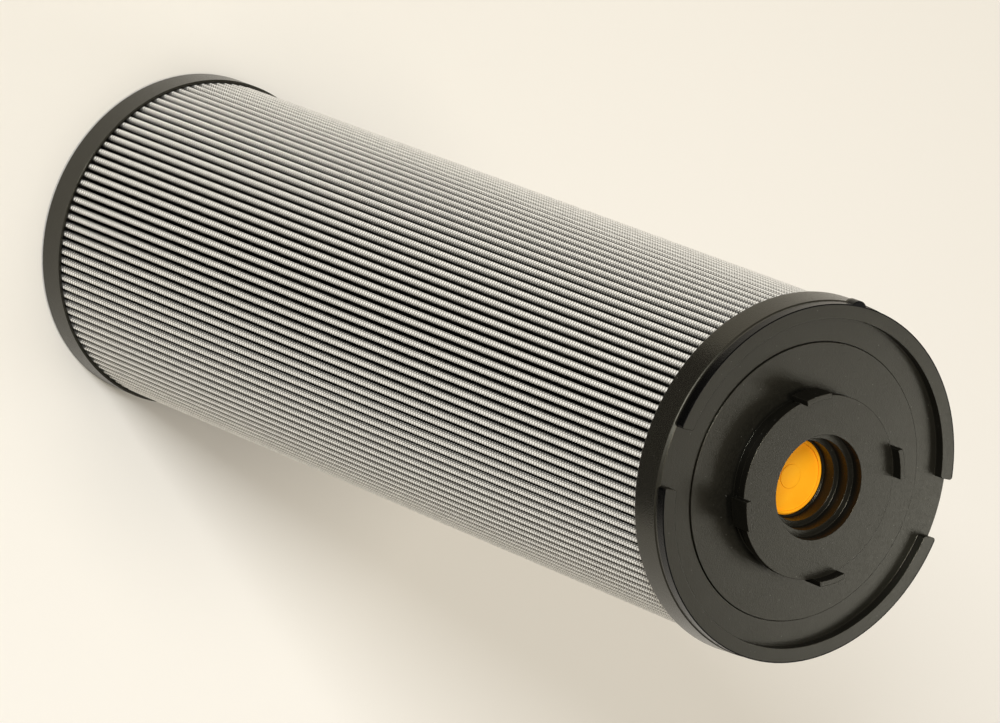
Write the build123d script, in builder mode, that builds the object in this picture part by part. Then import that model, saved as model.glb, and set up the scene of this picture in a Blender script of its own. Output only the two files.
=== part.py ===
"""Pleated filter element: a pleated pack and its core between two moulded end caps.

The element stands on its outlet cap. +Z is the element's axis, pointing to the valve end,
and the origin is the centre of the outlet cap's flat face. Sizes are in millimetres.
"""
import os
from math import cos, pi, radians, sin

from build123d import *

# Overall
face_z = 387.0  # flat face of the valve end, above the outlet cap's flat face
pleat_r = 62.2  # over the pleat crests
skirt_gap = 0.3  # between the pleat crests and a cap's skirt

# Pleated pack
pleat_count = 112
pleat_root_r = 45.6  # bottom of the valleys between pleats
crest_w = 2.2  # width of a pleat over its crest
valley_w = 0.55  # width of a valley at its bottom
mesh_t = 0.4  # outer wire mesh
medium_t = 0.45  # glass-fibre medium with its inner backing
core_gap = 0.2  # between the pleat roots and the core

# Support core
core_wall = 1.2
slot_h = 36.0
slot_w = 20.0
slot_land = 14.0  # solid wall between two rows of slots
slots_around = 6

# Outlet cap
outlet_skirt_t = 1.1
outlet_skirt_h = 12.1
outlet_floor_t = 3.0
outlet_bore_r = 21.5
outlet_neck_h = 19.0
outlet_neck_wall = 5.5
ring_section = 3.6  # section of the outlet O-ring
ring_squeeze = 0.7  # how far the O-ring stands into the bore
ring_z = 10.5
collar_h = 9.0  # centring collars inside the core
collar_wall = 2.2
collar_gap = 0.2
edge_round = 1.0

# Valve end cap
cap_skirt_t = 2.5
cap_draft = 0.6  # how much smaller the skirt is at the face
cap_skirt_h = 11.1
cap_plate_t = 5.0
rim_wall_h = 3.6  # the two raised walls on the face
rim_wall_t = 5.2
rim_wall_inset = 0.35
rim_gap_deg = 19.0
key_r = 3.4  # half-round key on the middle of one raised wall
key_proud = 1.7
potting_t = 4.0

# Valve hub, a second moulding set in the cap
hub_plate_r = 49.9
hub_plate_t = 3.0
hub_seat_gap = 0.15
hub_step = 0.5  # how far the hub plate stands above the cap's face
hub_r = 32.9
hub_h = 8.2
hub_flange_t = 3.0
hub_undercut = 1.6
lug_count = 4
lug_w = 10.8
lug_t = 1.9
lug_h = 4.1  # above the hub's top
lug_root = 4.3  # below the hub's top
lug_turn = 24.4
bore_steps = [(18.8, 4.5), (16.4, 5.2), (14.4, 5.5)]  # radius and depth of each step
seat_r = 13.7
seat_lip_t = 0.8

# Bypass valve below the hub
valve_wall = 2.0
valve_tube_r = 20.4
valve_gap = 0.1
cage_depth = 38.0
cage_floor_t = 2.5
window_w = 15.0
window_h = 18.0
window_count = 4
guide_boss_r = 5.6
guide_boss_h = 6.0
stem_r = 3.0
stem_clearance = 0.08
stem_past = 3.0
poppet_r = 16.0
poppet_t = 3.0
poppet_rim_w = 0.9
poppet_rim_h = 0.7
poppet_rim_gap = 0.5
poppet_boss_r = 4.3
poppet_boss_h = 0.3
spring_wire = 1.6
spring_r = 9.0
spring_turns = 6
spring_sides = 12  # straight runs in one turn

# Radii and levels that follow
core_out_r = pleat_root_r - mesh_t - medium_t - core_gap
core_in_r = core_out_r - core_wall
skirt_in_r = pleat_r + skirt_gap
outlet_cap_r = skirt_in_r + outlet_skirt_t
cap_r = skirt_in_r + cap_skirt_t
cap_face_r = cap_r - cap_draft
pack_z0 = outlet_floor_t + potting_t
pack_z1 = face_z - cap_plate_t - potting_t
hub_face_z = face_z + hub_step
hub_top_z = face_z + hub_h
hub_plate_z = face_z - hub_plate_t
bore_depth = sum(depth for radius, depth in bore_steps)
seat_z = hub_top_z - bore_depth - seat_lip_t
cage_z = seat_z - cage_depth
cage_floor_z = cage_z + cage_floor_t
poppet_z = seat_z - poppet_t
collar_out_r = core_in_r - collar_gap
collar_in_r = collar_out_r - collar_wall


def polar(radius, degrees):
    """A point at a radius and an angle."""
    return (radius * cos(radians(degrees)), radius * sin(radians(degrees)))


def ring_profile(points):
    """A closed profile of (radius, height) points on the XZ plane."""
    with BuildSketch(Plane.XZ) as profile:
        with BuildLine():
            Polyline(*points, close=True)
        make_face()
    return profile.sketch


def pleat_outline(inset, crest_segments):
    """One closed outline round the whole pack, inset from the pack's outer surface."""
    half_crest = crest_w / 2 - inset
    half_valley = valley_w / 2 + inset
    crest_centre_r = pleat_r - crest_w / 2
    root_r = pleat_root_r - inset
    step = 360.0 / pleat_count
    points = []
    for pleat in range(pleat_count):
        middle = pleat * step
        for k in range(crest_segments + 1):
            turn = pi * (0.5 - k / crest_segments) if crest_segments else 0.0
            across = -half_crest * sin(turn)
            out = crest_centre_r + half_crest * cos(turn)
            points.append(polar(out, middle + across / out * 180 / pi))
        valley = middle + step / 2
        turn = half_valley / root_r * 180 / pi
        points.append(polar(root_r, valley - turn))
        points.append(polar(root_r, valley + turn))
    return points


def pleated_layer(outer, inner):
    """The face between two outlines round the pack."""
    with BuildSketch(Plane.XY.offset(pack_z0)) as face:
        with BuildLine():
            Polyline(*outer, close=True)
        make_face()
        with BuildLine():
            Polyline(*inner, close=True)
        make_face(mode=Mode.SUBTRACT)
    return face.sketch


def stepped_points():
    """The bore's steps from the hub's top down to the seat lip, as (radius, height) points."""
    points = []
    level = hub_top_z
    for radius, depth in bore_steps:
        points.append((radius, level))
        level -= depth
        points.append((radius, level))
    return points


os.makedirs("parts", exist_ok=True)

# Outer wire mesh, folded into pleats
outline = [pleat_outline(0, 4), pleat_outline(mesh_t, 2), pleat_outline(mesh_t + medium_t, 0)]
with BuildPart() as outer_wire_mesh:
    add(pleated_layer(outline[0], outline[1]))
    extrude(amount=pack_z1 - pack_z0)
outer_wire_mesh.part.label = "outer_wire_mesh"

# Glass-fibre medium, folded with the mesh
with BuildPart() as filter_medium:
    add(pleated_layer(outline[1], outline[2]))
    extrude(amount=pack_z1 - pack_z0)
filter_medium.part.label = "filter_medium"

# Support core with rows of slots
with BuildPart() as support_core:
    with BuildSketch(Plane.XY.offset(pack_z0)):
        Circle(core_out_r)
        Circle(core_in_r, mode=Mode.SUBTRACT)
    extrude(amount=pack_z1 - pack_z0)
    slot_pitch = slot_h + slot_land
    slot_rows = int((pack_z1 - pack_z0 - slot_land) // slot_pitch)
    first_slot_z = (pack_z0 + pack_z1) / 2 - slot_pitch * (slot_rows - 1) / 2
    for row in range(slot_rows):
        turn = 180.0 / slots_around * (row % 2)
        with BuildSketch(Plane.XY.offset(first_slot_z + row * slot_pitch - slot_h / 2)):
            with PolarLocations((core_in_r + core_out_r) / 2, slots_around, start_angle=turn):
                Rectangle(core_wall * 4, slot_w)
        extrude(amount=slot_h, mode=Mode.SUBTRACT)
support_core.part.label = "support_core"

# Potting that bonds the pack and the core to each cap
with BuildPart() as outlet_potting:
    with BuildSketch(Plane.XY.offset(outlet_floor_t)):
        Circle(skirt_in_r)
        Circle(collar_out_r, mode=Mode.SUBTRACT)
    extrude(amount=potting_t)
outlet_potting.part.label = "outlet_potting"

with BuildPart() as valve_end_potting:
    with BuildSketch(Plane.XY.offset(pack_z1)):
        Circle(skirt_in_r)
        Circle(collar_out_r, mode=Mode.SUBTRACT)
    extrude(amount=potting_t)
valve_end_potting.part.label = "valve_end_potting"

# Outlet cap: floor, skirt, neck with an O-ring groove and centring collar
neck_out_r = outlet_bore_r + outlet_neck_wall
groove_r = outlet_bore_r - ring_squeeze + ring_section
groove_half = ring_section * 0.6
collar_z = outlet_floor_t + collar_h
outlet_points = [
    (outlet_bore_r + edge_round, 0),
    (outlet_cap_r - edge_round, 0),
    (outlet_cap_r, edge_round),
    (outlet_cap_r, outlet_skirt_h),
    (skirt_in_r, outlet_skirt_h),
    (skirt_in_r, outlet_floor_t),
    (collar_out_r, outlet_floor_t),
    (collar_out_r, collar_z),
    (collar_in_r, collar_z),
    (collar_in_r, outlet_floor_t),
    (neck_out_r, outlet_floor_t),
    (neck_out_r, outlet_neck_h),
    (outlet_bore_r, outlet_neck_h),
    (outlet_bore_r, ring_z + groove_half),
    (groove_r, ring_z + groove_half),
    (groove_r, ring_z - groove_half),
    (outlet_bore_r, ring_z - groove_half),
    (outlet_bore_r, edge_round),
]
with BuildPart() as outlet_cap:
    add(ring_profile(outlet_points))
    revolve(axis=Axis.Z)
outlet_cap.part.label = "outlet_cap"

# O-ring in the outlet neck
with BuildPart() as outlet_o_ring:
    with BuildSketch(Plane.XZ):
        with Locations((groove_r - ring_section / 2 * cos(pi / 8), ring_z)):
            RegularPolygon(ring_section / 2, 8, rotation=22.5)
    revolve(axis=Axis.Z)
outlet_o_ring.part.label = "outlet_o_ring"

# Valve end cap: plate with a seat for the hub, skirt, collar, raised walls and key
ledge_z = face_z - cap_plate_t
wall_out_r = cap_face_r - rim_wall_inset
wall_in_r = wall_out_r - rim_wall_t
cap_points = [
    (hub_plate_r, face_z),
    (cap_face_r - edge_round, face_z),
    (cap_face_r, face_z - edge_round),
    (cap_r, face_z - cap_skirt_h),
    (skirt_in_r, face_z - cap_skirt_h),
    (skirt_in_r, ledge_z),
    (collar_out_r, ledge_z),
    (collar_out_r, ledge_z - collar_h),
    (collar_in_r, ledge_z - collar_h),
    (collar_in_r, hub_plate_z),
    (hub_plate_r, hub_plate_z),
]
with BuildPart() as valve_end_cap:
    add(ring_profile(cap_points))
    revolve(axis=Axis.Z)
    with BuildSketch(Plane.XY.offset(face_z - edge_round)) as wall_plan:
        Circle(wall_out_r)
        Circle(wall_in_r, mode=Mode.SUBTRACT)
        gap_w = 2 * wall_out_r * sin(radians(rim_gap_deg / 2))
        Rectangle(4 * wall_out_r, gap_w, mode=Mode.SUBTRACT)
        fillet(wall_plan.vertices(), radius=rim_wall_t * 0.2)
        with Locations((0, -wall_out_r + key_r - key_proud)):
            Circle(key_r)
    extrude(amount=rim_wall_h + edge_round)
valve_end_cap.part.label = "valve_end_cap"

# Valve hub: plate, stepped socket with the valve seat, and four lugs
hub_neck_r = hub_r - hub_undercut
hub_points = [
    (hub_plate_r - hub_seat_gap, hub_plate_z),
    (hub_plate_r - hub_seat_gap, hub_face_z),
    (hub_neck_r, hub_face_z),
    (hub_neck_r, hub_top_z - hub_flange_t),
    (hub_r, hub_top_z - hub_flange_t),
    (hub_r, hub_top_z),
    *stepped_points(),
    (seat_r, seat_z + seat_lip_t),
    (seat_r, seat_z),
    (valve_tube_r, seat_z),
    (valve_tube_r, hub_plate_z),
]
with BuildPart() as valve_hub:
    add(ring_profile(hub_points))
    revolve(axis=Axis.Z)
    with BuildSketch(Plane.XY.offset(hub_top_z - lug_root)):
        with PolarLocations(hub_r, lug_count, start_angle=lug_turn):
            Rectangle(4 * lug_t, lug_w)
        Circle(hub_r + lug_t, mode=Mode.INTERSECT)
        Circle(hub_r, mode=Mode.SUBTRACT)
    extrude(amount=lug_root + lug_h)
valve_hub.part.label = "valve_hub"

# Cage of the bypass valve, pushed over the hub's tube
cage_in_r = valve_tube_r + valve_gap
guide_r = stem_r + stem_clearance
cage_points = [
    (cage_in_r, hub_plate_z),
    (cage_in_r + valve_wall, hub_plate_z),
    (cage_in_r + valve_wall, cage_z),
    (guide_r, cage_z),
    (guide_r, cage_floor_z + guide_boss_h),
    (guide_boss_r, cage_floor_z + guide_boss_h),
    (guide_boss_r, cage_floor_z),
    (cage_in_r, cage_floor_z),
]
with BuildPart() as bypass_cage:
    add(ring_profile(cage_points))
    revolve(axis=Axis.Z)
    with BuildSketch(Plane.XY.offset(seat_z - poppet_t - window_h)):
        with PolarLocations(cage_in_r, window_count):
            Rectangle(valve_wall * 4, window_w)
    extrude(amount=window_h, mode=Mode.SUBTRACT)
bypass_cage.part.label = "bypass_cage"

# Poppet with a raised rim inside the seat and a guided stem
rim_out_r = seat_r - poppet_rim_gap
poppet_points = [
    (0, seat_z + poppet_boss_h),
    (poppet_boss_r, seat_z + poppet_boss_h),
    (poppet_boss_r, seat_z),
    (rim_out_r - poppet_rim_w, seat_z),
    (rim_out_r - poppet_rim_w, seat_z + poppet_rim_h),
    (rim_out_r, seat_z + poppet_rim_h),
    (rim_out_r, seat_z),
    (poppet_r, seat_z),
    (poppet_r, poppet_z),
    (stem_r, poppet_z),
    (stem_r, cage_z - stem_past),
    (0, cage_z - stem_past),
]
with BuildPart() as bypass_poppet:
    add(ring_profile(poppet_points))
    revolve(axis=Axis.Z)
bypass_poppet.part.label = "bypass_poppet"

# Compression spring between the cage's floor and the poppet
spring_h = poppet_z - cage_floor_z - spring_wire
runs = spring_turns * spring_sides
coil_points = [
    (*polar(spring_r, k * 360 / spring_sides), cage_floor_z + spring_wire / 2 + spring_h * k / runs)
    for k in range(runs + 1)
]
with BuildPart() as bypass_spring:
    with BuildLine() as coil:
        Polyline(*coil_points)
    with BuildSketch(Plane(origin=coil.line @ 0, z_dir=coil.line % 0)):
        Rectangle(spring_wire * 0.9, spring_wire * 0.9)
    sweep(transition=Transition.RIGHT)
bypass_spring.part.label = "bypass_spring"

pieces = [
    outer_wire_mesh, filter_medium, support_core, outlet_potting, valve_end_potting, outlet_cap,
    outlet_o_ring, valve_end_cap, valve_hub, bypass_cage, bypass_poppet, bypass_spring,
]
for piece in pieces:
    export_step(piece.part, f"parts/{piece.part.label}.step")
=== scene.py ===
"""Looks for the pleated filter element: materials, woven wires on the pleats, light and camera.

Every length is in metres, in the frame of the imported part. +Z is the element's axis, pointing to
the valve end, and the element stands on its outlet cap.
"""
from math import cos, pi, radians, sin, tau

import bpy
import numpy as np
from mathutils import Matrix, Vector


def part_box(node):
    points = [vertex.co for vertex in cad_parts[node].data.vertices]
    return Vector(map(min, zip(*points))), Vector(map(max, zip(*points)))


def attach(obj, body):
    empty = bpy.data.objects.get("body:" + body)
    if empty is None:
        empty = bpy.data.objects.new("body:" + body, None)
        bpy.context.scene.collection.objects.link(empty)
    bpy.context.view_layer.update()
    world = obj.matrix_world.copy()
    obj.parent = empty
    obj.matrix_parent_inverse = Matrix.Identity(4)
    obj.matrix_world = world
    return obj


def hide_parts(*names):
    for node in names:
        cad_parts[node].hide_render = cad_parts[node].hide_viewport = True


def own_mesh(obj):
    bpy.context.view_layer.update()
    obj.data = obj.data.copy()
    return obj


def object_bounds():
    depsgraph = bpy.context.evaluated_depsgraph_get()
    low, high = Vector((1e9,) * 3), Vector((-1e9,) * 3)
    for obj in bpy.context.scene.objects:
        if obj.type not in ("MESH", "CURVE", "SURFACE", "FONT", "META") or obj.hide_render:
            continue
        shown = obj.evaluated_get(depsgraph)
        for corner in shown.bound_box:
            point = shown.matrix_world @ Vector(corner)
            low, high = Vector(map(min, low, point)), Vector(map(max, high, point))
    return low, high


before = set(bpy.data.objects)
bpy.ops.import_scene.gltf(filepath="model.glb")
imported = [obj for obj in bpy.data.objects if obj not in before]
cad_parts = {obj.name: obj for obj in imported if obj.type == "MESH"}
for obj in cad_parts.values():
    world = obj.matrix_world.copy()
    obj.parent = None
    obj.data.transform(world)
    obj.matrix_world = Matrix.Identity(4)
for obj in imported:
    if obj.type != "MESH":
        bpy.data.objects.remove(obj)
cad_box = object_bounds()
scene = bpy.context.scene

MM = 0.001

# Pleats and woven wires
PLEATS = 112
CREST_R = 1.1 * MM  # half the width of a pleat over its crest
CREST_CENTRE_R = 61.1 * MM
SKIRT_DEPTH = 12.1 * MM  # of the outlet cap
POTTING_TO_SKIRT = 2.1 * MM  # how far the pack runs on under the valve end's skirt
WEFT_PITCH = 0.74 * MM  # along the element
WARP_PITCH = 0.95 * MM  # round a crest
CREST_COLUMNS = (0,)
FLANK_COLUMNS = (-2, -1, 1, 2)
CREST_KNUCKLE = (0.74 * MM, 0.60 * MM, 0.32 * MM)  # half length round the crest, half width, height
FLANK_KNUCKLE = (0.46 * MM, 0.42 * MM, 0.16 * MM)
KNUCKLE_RIDGE = 0.45  # part of the half length along which a crest knuckle keeps its full height
KNUCKLE_SINK = 0.06 * MM
WOVEN_PIECES = 8

# Bypass spring
SPRING_TURNS = 6
SPRING_STEPS = 48  # in one turn
SPRING_SIDES = 10
SPRING_WIRE_R = 0.72 * MM

# Valve end
# HUB_SIDE_R, WALL_SIDE_R and WALL_FOOT bound the caps' painted shade: dimmed reflections within the
# hub, near-black outer sides on the walls.
HUB_SIDE_R = 36.0 * MM  # outside the hub and its lugs
SKIRT_R = 63.0 * MM  # inside the caps' skirts
WALL_SIDE_R = 63.6 * MM
WALL_FOOT = 3.4 * MM  # below the top of the walls

# Camera
CAMERA_TARGET_Z = 208.5 * MM
CAMERA_PLACE = (-8.19, 50.69, 2.8165)  # azimuth and elevation in degrees, distance
CAMERA_ROLL = 111.56
CAMERA_SENSOR = 36.0
CAMERA_LENS = 278.8
CAMERA_CLIP = 50.0

# Stage
WORLD_COLOUR = (1.0, 0.91, 0.78)
WORLD_STRENGTH = 0.35
FLOOR_HALF = 8.0
FLOOR_FALLOFF_SLOPE = (-0.30, 0.95)  # how fast the floor's painted light falloff changes its tone along X and Y
FLOOR_SHIFT = 0.4
FLOOR_DARK = (0.76, 0.73, 0.66)
FLOOR_LIGHT = (0.97, 0.96, 0.93)
CARD_NEAR = 0.17
CARD_FAR = 0.60
CARD_TURN = -8.0  # azimuth of its middle, in degrees
CARD_SPREAD = 52.0  # to each side, in degrees
CARD_STEPS = 16
CARD_LIFT = 1.0 * MM  # over the floor


# ---------------------------------------------------------------- material helpers

def new_material(name):
    """A node material, its node tree and its shader."""
    material = bpy.data.materials.new(name)
    material.use_nodes = True
    tree = material.node_tree
    return material, tree, tree.nodes["Principled BSDF"]


def feed(tree, value, socket):
    """Gives a socket another socket's value, a colour or a number."""
    if isinstance(value, bpy.types.NodeSocket):
        tree.links.new(value, socket)
    elif isinstance(value, tuple):
        socket.default_value = (*value, 1)
    else:
        socket.default_value = value


def position(tree):
    """Object coordinates, which are the part's own frame in metres."""
    return tree.nodes.new("ShaderNodeTexCoord").outputs["Object"]


def radial_distance(tree):
    """The distance from the element's axis."""
    flat = tree.nodes.new("ShaderNodeVectorMath")
    flat.operation = "MULTIPLY"
    flat.inputs[1].default_value = (1, 1, 0)
    tree.links.new(position(tree), flat.inputs[0])
    length = tree.nodes.new("ShaderNodeVectorMath")
    length.operation = "LENGTH"
    tree.links.new(flat.outputs["Vector"], length.inputs[0])
    return length.outputs["Value"]


def components(tree, vector):
    """The X, Y and Z of a vector."""
    node = tree.nodes.new("ShaderNodeSeparateXYZ")
    tree.links.new(vector, node.inputs["Vector"])
    return node.outputs


def upright(tree):
    """1 on walls that stand along the axis, 0 on flats across it."""
    facing = components(tree, tree.nodes.new("ShaderNodeTexCoord").outputs["Normal"])
    return maths(tree, "LESS_THAN", maths(tree, "ABSOLUTE", facing["Z"]), 0.5)


def noise(tree, scale, detail=3.0):
    """A noise value in object space."""
    node = tree.nodes.new("ShaderNodeTexNoise")
    node.inputs["Scale"].default_value = scale
    node.inputs["Detail"].default_value = detail
    tree.links.new(position(tree), node.inputs["Vector"])
    return node.outputs["Fac"]


def ramp(tree, value, low, high):
    """A colour between two (position, colour) stops."""
    node = tree.nodes.new("ShaderNodeValToRGB")
    for element, (place, colour) in zip(node.color_ramp.elements, (low, high)):
        element.position = place
        element.color = (*colour, 1)
    tree.links.new(value, node.inputs["Fac"])
    return node.outputs["Color"]


def maths(tree, operation, a, b=0.0):
    """A maths node on two sockets or numbers."""
    node = tree.nodes.new("ShaderNodeMath")
    node.operation = operation
    feed(tree, a, node.inputs[0])
    feed(tree, b, node.inputs[1])
    return node.outputs["Value"]


def mix(tree, factor, a, b, blend_type="MIX"):
    """A colour from two colour sockets or plain colours."""
    node = tree.nodes.new("ShaderNodeMix")
    node.data_type = "RGBA"
    node.blend_type = blend_type
    feed(tree, factor, node.inputs["Factor"])
    feed(tree, a, node.inputs[6])
    feed(tree, b, node.inputs[7])
    return node.outputs[2]


def rounded_edges(tree, radius):
    """Normals that turn over the edges, and a value that is 1 on the turn and 0 on the flats."""
    bevel = tree.nodes.new("ShaderNodeBevel")
    bevel.samples = 8
    bevel.inputs["Radius"].default_value = radius
    facing = tree.nodes.new("ShaderNodeVectorMath")
    facing.operation = "DOT_PRODUCT"
    tree.links.new(bevel.outputs["Normal"], facing.inputs[0])
    tree.links.new(tree.nodes.new("ShaderNodeNewGeometry").outputs["Normal"], facing.inputs[1])
    turn = ramp(tree, facing.outputs["Value"], (0.90, (1, 1, 1)), (0.985, (0, 0, 0)))
    return bevel.outputs["Normal"], turn


def bump(tree, shader, height, distance, normal=None):
    """Bumps the shader's normal by a height."""
    node = tree.nodes.new("ShaderNodeBump")
    node.inputs["Distance"].default_value = distance
    tree.links.new(height, node.inputs["Height"])
    if normal:
        tree.links.new(normal, node.inputs["Normal"])
    tree.links.new(node.outputs["Normal"], shader.inputs["Normal"])


# ---------------------------------------------------------------- materials

def moulded_plastic(name, dark, light, roughness, gloss=0.5, rounding=0.25 * MM):
    """Satin moulded plastic with a fine grain, a faint cloudiness and softened edges."""
    material, tree, shader = new_material(name)
    colour = ramp(tree, noise(tree, 70.0), (0.35, dark), (0.7, light))
    tree.links.new(colour, shader.inputs["Base Color"])
    low, high = roughness * 0.9, roughness * 1.15
    rough = ramp(tree, noise(tree, 900.0), (0.3, (low,) * 3), (0.7, (high,) * 3))
    tree.links.new(rough, shader.inputs["Roughness"])
    shader.inputs["Specular IOR Level"].default_value = gloss
    normal, _ = rounded_edges(tree, rounding)
    bump(tree, shader, noise(tree, 2600.0, 2.0), 0.03 * MM, normal)
    return material


def dust_specks(tree):
    """A mask of small sparse specks."""
    cells = tree.nodes.new("ShaderNodeTexVoronoi")
    cells.inputs["Scale"].default_value = 320.0
    tree.links.new(position(tree), cells.inputs["Vector"])
    return ramp(tree, cells.outputs["Distance"], (0.03, (1, 1, 1)), (0.06, (0, 0, 0)))


def cap_plastic():
    """The caps' black plastic: glossy skirts and edges, with painted shade as dimmed reflections on
    the hub's upright faces and as near-black outer sides on the walls.
    """
    material, tree, shader = new_material("cap_plastic")
    foot_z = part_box("valve_end_cap")[1][2] - WALL_FOOT
    # Painted shade: the walls' outer sides, outside WALL_SIDE_R and above their foot, are coloured
    # near black and lose their reflections.
    beside = maths(tree, "GREATER_THAN", radial_distance(tree), WALL_SIDE_R)
    above = maths(tree, "GREATER_THAN", components(tree, position(tree))["Z"], foot_z)
    painted_shade_on_walls = maths(tree, "MULTIPLY", beside, above)
    dark, light = (0.0042, 0.0040, 0.0030), (0.0058, 0.0055, 0.0042)
    cloud = ramp(tree, noise(tree, 70.0), (0.35, dark), (0.7, light))
    speckled = mix(tree, dust_specks(tree), cloud, (0.10, 0.10, 0.09))
    colour = mix(tree, painted_shade_on_walls, speckled, (0.001, 0.001, 0.001))
    tree.links.new(colour, shader.inputs["Base Color"])
    rough = ramp(tree, noise(tree, 900.0), (0.3, (0.33,) * 3), (0.7, (0.42,) * 3))
    normal, turn = rounded_edges(tree, 0.35 * MM)
    # Painted shade: upright faces within the hub, its sides and bore, get dimmed reflections, while
    # their rounded edges keep full ones.
    within_hub = maths(tree, "LESS_THAN", radial_distance(tree), HUB_SIDE_R)
    painted_shade_on_hub = maths(tree, "MULTIPLY", within_hub, upright(tree))
    tint = mix(tree, painted_shade_on_hub, (1.0, 0.97, 0.80), (0.16, 0.15, 0.13))
    tint = mix(tree, turn, tint, (1.0, 0.97, 0.80))
    tint = mix(tree, painted_shade_on_walls, tint, (0.02, 0.02, 0.02))
    tree.links.new(tint, shader.inputs["Specular Tint"])
    outside = maths(tree, "GREATER_THAN", radial_distance(tree), SKIRT_R)
    skirt = maths(tree, "MULTIPLY", outside, upright(tree))
    rough = mix(tree, skirt, rough, (0.26, 0.26, 0.26))
    tree.links.new(mix(tree, turn, rough, (0.14, 0.14, 0.14)), shader.inputs["Roughness"])
    shader.inputs["Specular IOR Level"].default_value = 0.5
    bump(tree, shader, noise(tree, 2200.0, 2.0), 0.06 * MM, normal)
    return material


def mesh_backing():
    """The mesh between its raised wires, with painted shade: pale on the crests, darker down into
    the folds.
    """
    material, tree, shader = new_material("mesh_backing")
    span = CREST_R * 1.6
    depth = maths(tree, "SUBTRACT", radial_distance(tree), CREST_CENTRE_R + CREST_R - span)
    place = maths(tree, "DIVIDE", depth, span)
    # Painted shade: the colour darkens with depth into the folds between the crests.
    painted_fold_shade = ramp(tree, place, (0.15, (0.022, 0.022, 0.020)), (0.95, (0.36, 0.35, 0.32)))
    wires = ramp(tree, noise(tree, 1500.0), (0.3, (0.75, 0.75, 0.75)), (0.7, (1, 1, 1)))
    tree.links.new(mix(tree, 1.0, painted_fold_shade, wires, "MULTIPLY"), shader.inputs["Base Color"])
    shader.inputs["Roughness"].default_value = 0.55
    return material


def metal(name, colour, roughness, metallic=1.0):
    """Drawn or pressed steel with a little variation in its gloss."""
    material, tree, shader = new_material(name)
    darker = tuple(c * 0.85 for c in colour)
    tint = ramp(tree, noise(tree, 300.0), (0.3, darker), (0.7, colour))
    tree.links.new(tint, shader.inputs["Base Color"])
    shader.inputs["Metallic"].default_value = metallic
    low, high = roughness * 0.85, roughness * 1.25
    rough = ramp(tree, noise(tree, 800.0), (0.3, (low,) * 3), (0.7, (high,) * 3))
    tree.links.new(rough, shader.inputs["Roughness"])
    return material


def fleece(name, dark, light):
    """Fibrous filter medium, matt, with a fine felted bump."""
    material, tree, shader = new_material(name)
    colour = ramp(tree, noise(tree, 1200.0, 4.0), (0.35, dark), (0.7, light))
    tree.links.new(colour, shader.inputs["Base Color"])
    shader.inputs["Roughness"].default_value = 0.9
    bump(tree, shader, noise(tree, 3500.0, 4.0), 0.1 * MM)
    return material


def paint(material, *nodes):
    """Gives CAD nodes one material."""
    for node in nodes:
        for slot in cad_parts[node].material_slots:
            slot.material = material


def paint_nodes():
    """Materials of the carried-over CAD nodes."""
    steel = metal("steel", (0.56, 0.55, 0.53), 0.32)
    paint(cap_plastic(), "valve_end_cap", "valve_hub", "outlet_cap", "bypass_cage")
    dark, light = (0.98, 0.39, 0.008), (1.0, 0.45, 0.014)
    orange = moulded_plastic("poppet_plastic", dark, light, 0.5, gloss=0.15)
    resin = moulded_plastic("potting", (0.030, 0.029, 0.026), (0.045, 0.043, 0.038), 0.5)
    rubber = moulded_plastic("seal_rubber", (0.010, 0.010, 0.010), (0.016, 0.016, 0.015), 0.6)
    paint(orange, "bypass_poppet")
    paint(resin, "outlet_potting", "valve_end_potting")
    paint(rubber, "outlet_o_ring")
    paint(fleece("medium", (0.55, 0.54, 0.50), (0.68, 0.67, 0.63)), "filter_medium")
    paint(mesh_backing(), "outer_wire_mesh")
    paint(steel, "support_core", "bypass_spring")
    bypass_coil(steel)


# ---------------------------------------------------------------- bypass spring

def bypass_coil(material):
    """The bypass valve's spring in round wire, made at one fixed length; the real spring shortens
    as the poppet opens.
    """
    low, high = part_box("bypass_spring")
    mean_r = high[0] - SPRING_WIRE_R
    bottom, top = low[2] + SPRING_WIRE_R, high[2] - SPRING_WIRE_R
    steps = SPRING_TURNS * SPRING_STEPS
    points = []
    for k in range(steps + 1):
        turn = tau * k / SPRING_STEPS
        for side in range(SPRING_SIDES):
            lean = tau * side / SPRING_SIDES
            reach = mean_r + SPRING_WIRE_R * cos(lean)
            height = bottom + (top - bottom) * k / steps + SPRING_WIRE_R * sin(lean)
            points.append((reach * cos(turn), reach * sin(turn), height))
    rings = [range(k * SPRING_SIDES, (k + 1) * SPRING_SIDES) for k in range(steps + 1)]
    faces = []
    for ring, after in zip(rings, rings[1:]):
        faces += [(ring[i - 1], ring[i], after[i], after[i - 1]) for i in range(SPRING_SIDES)]
    faces += [tuple(reversed(rings[0])), tuple(rings[-1])]
    mesh = bpy.data.meshes.new("bypass_coil")
    mesh.from_pydata(points, [], faces)
    mesh.shade_smooth()
    mesh.materials.append(material)
    coil = bpy.data.objects.new("bypass_coil", mesh)
    scene.collection.objects.link(coil)
    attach(coil, "element")
    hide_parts("bypass_spring")
    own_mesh(coil)


# ---------------------------------------------------------------- woven wires on the pleats

def crest_knuckle():
    """Corners and faces of a wire's turn over a crest: along the wire, across it, outward."""
    end, side, top = CREST_KNUCKLE
    ridge = end * KNUCKLE_RIDGE
    corners = [(-end, 0, 0), (-ridge, -side, 0), (ridge, -side, 0), (end, 0, 0),
               (ridge, side, 0), (-ridge, side, 0), (-ridge, 0, top), (ridge, 0, top)]
    faces = [(1, 2, 7, 6), (4, 5, 6, 7), (0, 1, 6), (5, 0, 6), (2, 3, 7), (3, 4, 7)]
    return np.array(corners), faces


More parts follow.
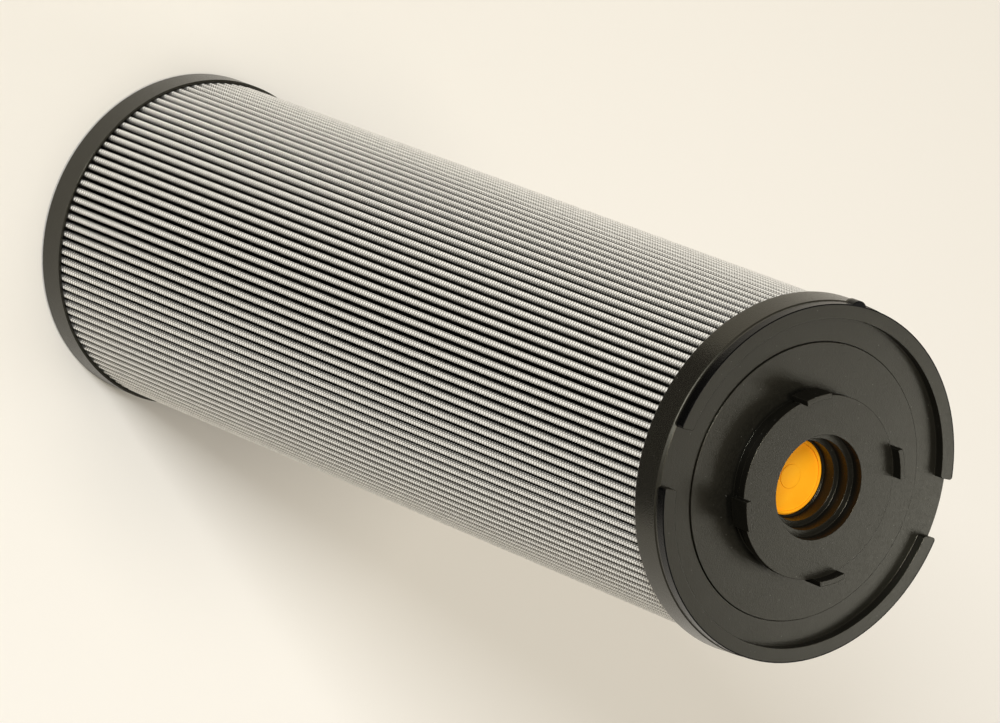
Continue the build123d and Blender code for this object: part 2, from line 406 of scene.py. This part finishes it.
def flank_knuckle():
    """Corners and faces of a wire's turn beside the crest, which is small and plain."""
    end, side, top = FLANK_KNUCKLE
    corners = [(-end, 0, 0), (0, -side, 0), (end, 0, 0), (0, side, 0), (0, 0, top)]
    return np.array(corners), [(0, 1, 4), (1, 2, 4), (2, 3, 4), (3, 0, 4)]


def knuckle_heights(column, z_low, z_high):
    """Heights at which wires pass over one axial wire: every other one, staggered by column."""
    first = z_low + WEFT_PITCH * (0.5 + column % 2)
    return np.arange(first, z_high - WEFT_PITCH / 2, 2 * WEFT_PITCH)


def column_points(pleat, column, heights, corners):
    """Corners of every knuckle in one column, laid round the crest and down its flanks."""
    angle = tau * pleat / PLEATS
    outward = np.array((cos(angle), sin(angle)))
    sideways = np.array((-sin(angle), cos(angle)))
    points = np.empty((len(heights), len(corners), 3))
    for k, (along, across, rise) in enumerate(corners):
        lean = (column * WARP_PITCH + along) / CREST_R
        turned = max(-pi / 2, min(pi / 2, lean))
        reach = CREST_R + rise - KNUCKLE_SINK
        out = CREST_CENTRE_R + reach * cos(turned) - abs(lean - turned) * CREST_R
        side = reach * sin(turned)
        points[:, k, :2] = out * outward + side * sideways
        points[:, k, 2] = heights + across
    return points


def woven_piece(name, pleats, z_low, z_high, material):
    """The wires that stand proud of the mesh on some of the pleats."""
    points = []
    polygons = []
    kinds = ((CREST_COLUMNS, crest_knuckle()), (FLANK_COLUMNS, flank_knuckle()))
    for columns, (corners, faces) in kinds:
        for pleat in pleats:
            for column in columns:
                heights = knuckle_heights(column, z_low, z_high)
                starts = range(len(points), len(points) + len(heights) * len(corners), len(corners))
                points += column_points(pleat, column, heights, corners).reshape(-1, 3).tolist()
                polygons += [tuple(start + k for k in face) for start in starts for face in faces]
    mesh = bpy.data.meshes.new(name)
    mesh.from_pydata(points, [], polygons)
    mesh.shade_smooth()
    mesh.materials.append(material)
    piece = bpy.data.objects.new(name, mesh)
    scene.collection.objects.link(piece)
    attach(piece, "element")


def weave():
    """Every pleat's wires, in a few pieces."""
    wire = metal("woven_wire", (0.94, 0.93, 0.89), 0.40, metallic=0.0)
    z_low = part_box("outlet_cap")[0][2] + SKIRT_DEPTH
    z_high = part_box("outer_wire_mesh")[1][2] - POTTING_TO_SKIRT
    span = PLEATS // WOVEN_PIECES
    for k in range(WOVEN_PIECES):
        woven_piece(f"woven_wires_{k + 1}", range(k * span, (k + 1) * span), z_low, z_high, wire)


# ---------------------------------------------------------------- stage, light and camera

def around(azimuth, elevation, distance, target):
    """A place at an azimuth and elevation, in degrees, round a target."""
    a, e = radians(azimuth), radians(elevation)
    return Vector(target) + distance * Vector((cos(a) * cos(e), sin(a) * cos(e), sin(e)))


def softbox(name, azimuth, elevation, distance, size, power, colour=(1.0, 0.99, 0.97)):
    """A square lamp that points at the middle of the element."""
    target = Vector((0, 0, cad_box[1][2] / 2))
    data = bpy.data.lights.new(name, "AREA")
    data.size = size
    data.energy = power
    data.color = colour
    lamp = bpy.data.objects.new(name, data)
    scene.collection.objects.link(lamp)
    lamp.location = around(azimuth, elevation, distance, target)
    lamp.rotation_euler = (target - lamp.location).to_track_quat("-Z", "Y").to_euler()


def pale_floor():
    """The pale floor that the element stands on, its colour painted lighter towards +Y and -X as a
    painted falloff of light.
    """
    mesh = bpy.data.meshes.new("floor")
    corners = [(FLOOR_HALF * x, FLOOR_HALF * y, 0) for x, y in ((-1, -1), (1, -1), (1, 1), (-1, 1))]
    mesh.from_pydata(corners, [], [(0, 1, 2, 3)])
    material, tree, shader = new_material("floor")
    place = components(tree, position(tree))
    # Painted light falloff: the floor's colour grows lighter towards +Y and -X.
    across = maths(tree, "MULTIPLY", place["X"], FLOOR_FALLOFF_SLOPE[0])
    down = maths(tree, "MULTIPLY", place["Y"], FLOOR_FALLOFF_SLOPE[1])
    level = maths(tree, "ADD", maths(tree, "ADD", across, down), FLOOR_SHIFT)
    tone = ramp(tree, level, (0.0, FLOOR_DARK), (0.75, FLOOR_LIGHT))
    tree.links.new(tone, shader.inputs["Base Color"])
    shader.inputs["Roughness"].default_value = 0.7
    mesh.materials.append(material)
    floor = bpy.data.objects.new("floor", mesh)
    scene.collection.objects.link(floor)


def dark_card():
    """A dark card on the floor in front of the element, seen only where its skirts mirror it."""
    count = CARD_STEPS + 1
    shares = [2 * k / CARD_STEPS - 1 for k in range(count)]
    turns = [radians(CARD_TURN + CARD_SPREAD * share) for share in shares]
    corners = [(r * cos(t), r * sin(t), CARD_LIFT) for r in (CARD_NEAR, CARD_FAR) for t in turns]
    faces = [(k, k + count, k + count + 1, k + 1) for k in range(CARD_STEPS)]
    mesh = bpy.data.meshes.new("dark_card")
    mesh.from_pydata(corners, [], faces)
    material, tree, shader = new_material("dark_card")
    tone = ramp(tree, noise(tree, 20.0), (0.3, (0.02, 0.02, 0.02)), (0.7, (0.03, 0.03, 0.03)))
    tree.links.new(tone, shader.inputs["Base Color"])
    shader.inputs["Roughness"].default_value = 0.9
    mesh.materials.append(material)
    card = bpy.data.objects.new("dark_card", mesh)
    scene.collection.objects.link(card)
    card.visible_camera = False
    card.visible_diffuse = False
    card.visible_shadow = False


def studio_world():
    """Even pale light from all round."""
    world = bpy.data.worlds.new("studio")
    world.use_nodes = True
    background = world.node_tree.nodes["Background"]
    background.inputs["Color"].default_value = (*WORLD_COLOUR, 1)
    background.inputs["Strength"].default_value = WORLD_STRENGTH
    scene.world = world


def camera():
    """The camera, rolled so that the standing element lies across the picture."""
    target = Vector((0, 0, CAMERA_TARGET_Z))
    data = bpy.data.cameras.new("camera")
    data.sensor_width = CAMERA_SENSOR
    data.lens = CAMERA_LENS
    data.clip_end = CAMERA_CLIP
    view = bpy.data.objects.new("camera", data)
    scene.collection.objects.link(view)
    place = around(*CAMERA_PLACE, target)
    look = (target - place).to_track_quat("-Z", "Y").to_matrix().to_4x4()
    roll = Matrix.Rotation(radians(CAMERA_ROLL), 4, "Z")
    view.matrix_world = Matrix.Translation(place) @ look @ roll
    scene.camera = view


paint_nodes()
weave()
scene.view_settings.view_transform = "Standard"
pale_floor()
dark_card()
studio_world()
softbox("key", 172, 50, 0.6, 0.2, 0.46)
softbox("fill", -26, 44, 3.0, 0.7, 56, (0.98, 0.99, 1.0))
softbox("top", -30, 82, 2.6, 0.6, 24, (1.0, 0.92, 0.78))
camera()
